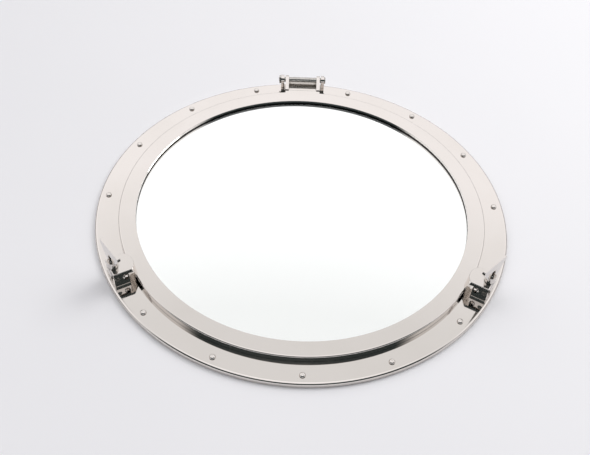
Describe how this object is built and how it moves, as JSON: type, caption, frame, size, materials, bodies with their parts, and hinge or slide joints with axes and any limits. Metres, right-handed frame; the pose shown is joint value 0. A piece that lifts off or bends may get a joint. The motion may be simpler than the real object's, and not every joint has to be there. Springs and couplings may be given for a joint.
{
  "type": "opening porthole",
  "caption": "Round polished porthole with a flat riveted flange, a top-hinged ring carrying a mirror pane, and two swing-bolt dogs with wing nuts.",
  "frame": {"origin": "Centre of the frame's flat back face.", "axes": "+Z out of the front of the porthole, away from the wall; +Y towards the hinge, which is the top when it hangs; +X to the right seen from the front."},
  "size_m": [0.6099, 0.61, 0.0706],
  "materials": {
    "polished_nickel": "mirror-polished nickel plate over cast brass, faint warm tint",
    "bright_steel": "plated steel fasteners and pins, fine machined finish",
    "mirror_glass": "4 mm silvered float glass, clear front face, faint green edge",
    "black_rubber": "matt black extruded rubber",
    "backing_board": "thin brown hardboard, smooth face out",
    "zinc_plate": "zinc-plated pressed steel, satin"
  },
  "bodies": {
    "frame": {"outer_frame": "polished_nickel", "frame_rivets": "polished_nickel", "weather_seal": "black_rubber", "hinge_bracket": "polished_nickel", "hinge_bracket_screws": "bright_steel", "hinge_pin": "bright_steel", "hinge_pin_nut": "bright_steel", "keyhole_plates": "zinc_plate", "keyhole_screws": "zinc_plate", "dog_clevis_right": "polished_nickel", "dog_clevis_screws_right": "bright_steel", "dog_pivot_right": "bright_steel", "dog_clevis_left": "polished_nickel", "dog_clevis_screws_left": "bright_steel", "dog_pivot_left": "bright_steel"},
    "sash": {"opening_ring": "polished_nickel", "ring_ear_right": "polished_nickel", "ring_ear_left": "polished_nickel", "hinge_leaf": "polished_nickel", "hinge_leaf_screws": "bright_steel", "mirror_pane": "mirror_glass", "glazing_gasket": "black_rubber", "backing_board": "backing_board", "retaining_ring": "zinc_plate", "retaining_screws": "zinc_plate"},
    "dog_right": {"dog_bolt_right": "polished_nickel"},
    "washer_right": {"dog_washer_right": "bright_steel"},
    "nut_right": {"wing_nut_right": "polished_nickel"},
    "dog_left": {"dog_bolt_left": "polished_nickel"},
    "washer_left": {"dog_washer_left": "bright_steel"},
    "nut_left": {"wing_nut_left": "polished_nickel"}
  },
  "joints": [
    {"name": "sash_swing", "type": "hinge", "parent": "frame", "child": "sash", "pos_m": [0, 0.293, 0.0245], "axis": [-1, 0, 0], "range_deg": [0, 110]},
    {"name": "dog_swing_right", "type": "hinge", "parent": "frame", "child": "dog_right", "pos_m": [0.25522, -0.14795, 0.022], "axis": [0.5015, 0.8652, 0], "range_deg": [0, 60]},
    {"name": "nut_travel_right", "type": "slide", "parent": "dog_right", "child": "washer_right", "axis": [0, 0, 1], "range_m": [-0.00038, 0.006]},
    {"name": "nut_turn_right", "type": "hinge", "parent": "washer_right", "child": "nut_right", "pos_m": [0.25522, -0.14795, 0], "axis": [0, 0, 1], "range_deg": [-91, 1441]},
    {"name": "dog_swing_left", "type": "hinge", "parent": "frame", "child": "dog_left", "pos_m": [-0.25876, -0.14167, 0.022], "axis": [0.4802, -0.8771, 0], "range_deg": [0, 60]},
    {"name": "nut_travel_left", "type": "slide", "parent": "dog_left", "child": "washer_left", "axis": [0, 0, 1], "range_m": [-0.00038, 0.006]},
    {"name": "nut_turn_left", "type": "hinge", "parent": "washer_left", "child": "nut_left", "pos_m": [-0.25876, -0.14167, 0], "axis": [0, 0, 1], "range_deg": [-91, 1441]}
  ],
  "couplings": [
    {"joint": "nut_turn_right", "follows": "nut_travel_right", "rad_per_m": 4188.8},
    {"joint": "nut_turn_left", "follows": "nut_travel_left", "rad_per_m": 4188.8}
  ]
}
